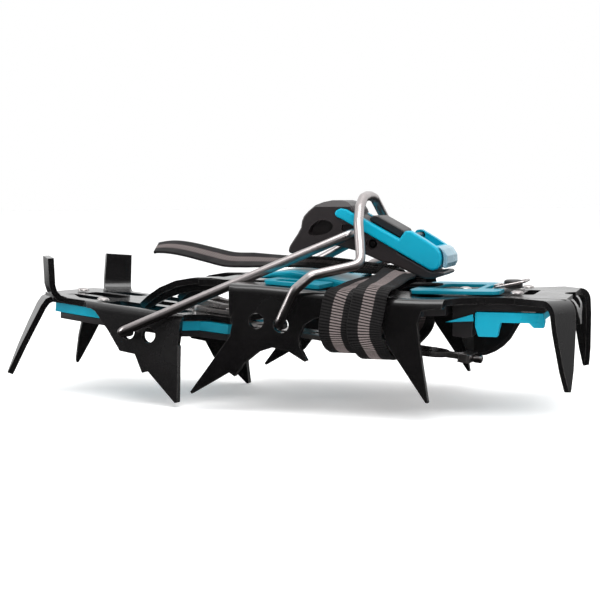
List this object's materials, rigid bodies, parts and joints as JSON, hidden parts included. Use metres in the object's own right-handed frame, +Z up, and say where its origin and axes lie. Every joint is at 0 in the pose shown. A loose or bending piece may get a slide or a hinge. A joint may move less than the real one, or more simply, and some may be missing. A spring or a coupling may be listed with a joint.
{
  "type": "crampon",
  "caption": "Hinged steel crampon packed flat: heel section nested against the front section, wire toe bail folded back, heel lever threaded through it, strap wound round both.",
  "frame": {"origin": "middle of the bounding box in plan, at the level of its lowest point tips", "axes": "+X along the crampon from the heel section to the rear of the front section (to the right in the view), +Y away from the viewer, +Z up, away from the points"},
  "size_m": [0.2352, 0.0962, 0.0833],
  "materials": {
    "black_rubber": "matt",
    "stainless": "satin",
    "dark_plastic": "moulded, fine grain",
    "turquoise_plastic": "moulded, fine grain",
    "black_steel": "powder coated, satin",
    "pale_plastic": "moulded",
    "webbing": "woven, grey centre stripe"
  },
  "bodies": {
    "front_section": {"antiball_bellows": "black_rubber", "clip_bracket": "stainless", "clip_knob": "dark_plastic", "front_antiball": "dark_plastic", "front_dome": "turquoise_plastic", "front_frame": "black_steel", "front_rivet_1": "stainless", "front_rivet_2": "stainless", "front_rivet_3": "stainless", "front_rivet_4": "stainless", "front_rivet_5": "stainless", "front_top_pad_far": "turquoise_plastic", "front_top_pad_near": "turquoise_plastic", "rear_antiball": "dark_plastic", "rear_antiball_inlay": "turquoise_plastic", "rear_top_pad": "turquoise_plastic", "rear_wedge_far": "turquoise_plastic", "rear_wedge_near": "turquoise_plastic", "strap_flap": "webbing", "strap_tail": "webbing", "strap_wraps": "webbing"},
    "toe_bail": {"toe_bail": "stainless"},
    "heel_section": {"heel_frame": "black_steel", "heel_antiball_top": "turquoise_plastic", "heel_antiball_base": "dark_plastic", "lock_base": "stainless", "lock_button": "dark_plastic", "heel_rivet_1": "stainless", "heel_rivet_2": "stainless", "heel_rivet_3": "stainless", "heel_rivet_4": "stainless", "lock_rivet_1": "stainless", "lock_rivet_2": "stainless"},
    "heel_wire": {"heel_wire": "stainless"},
    "heel_lever": {"lever_body": "dark_plastic", "lever_insert": "turquoise_plastic", "lever_end_cap": "pale_plastic", "lever_tail_pin": "stainless", "lever_cross_pin": "stainless"},
    "lever_slider": {"lever_slider": "dark_plastic"},
    "linking_bar": {"linking_bar": "stainless", "bar_tee_end": "stainless", "bar_end_screw": "stainless"},
    "lock_lever": {"lock_lever": "stainless"},
    "clip_loop": {"clip_loop": "stainless"}
  },
  "joints": [
    {"name": "toe_bail_hinge", "type": "hinge", "parent": "front_section", "child": "toe_bail", "pos_m": [0.01104, 0, 0.03358], "axis": [0, -1, 0], "range_deg": [0, 70]},
    {"name": "heel_section_slide", "type": "slide", "parent": "front_section", "child": "heel_section", "axis": [-1, 0, 0], "range_m": [0, 0.004]},
    {"name": "heel_wire_hinge", "type": "hinge", "parent": "heel_section", "child": "heel_wire", "pos_m": [-0.0537, -0.00457, 0.02743], "axis": [-0.0865, -0.996, 0.0243], "range_deg": [0, 0.5]},
    {"name": "heel_lever_hinge", "type": "hinge", "parent": "heel_wire", "child": "heel_lever", "pos_m": [0.03074, 0, 0.06698], "axis": [0, -1, 0], "range_deg": [0, 2]},
    {"name": "lever_slider_slide", "type": "slide", "parent": "heel_lever", "child": "lever_slider", "axis": [-0.8751, 0, 0.4839], "range_m": [0, 0.0025]},
    {"name": "linking_bar_slide", "type": "slide", "parent": "heel_section", "child": "linking_bar", "axis": [-0.9915, 0.0885, 0.0958], "range_m": [0, 0.006]},
    {"name": "lock_lever_hinge", "type": "hinge", "parent": "heel_section", "child": "lock_lever", "pos_m": [-0.01825, -0.00742, 0.03686], "axis": [0.0865, 0.996, -0.0243], "range_deg": [0, 15]},
    {"name": "clip_loop_hinge", "type": "hinge", "parent": "front_section", "child": "clip_loop", "pos_m": [0.08514, 0, 0.04638], "axis": [0, -1, 0], "range_deg": [0, 70]}
  ]
}
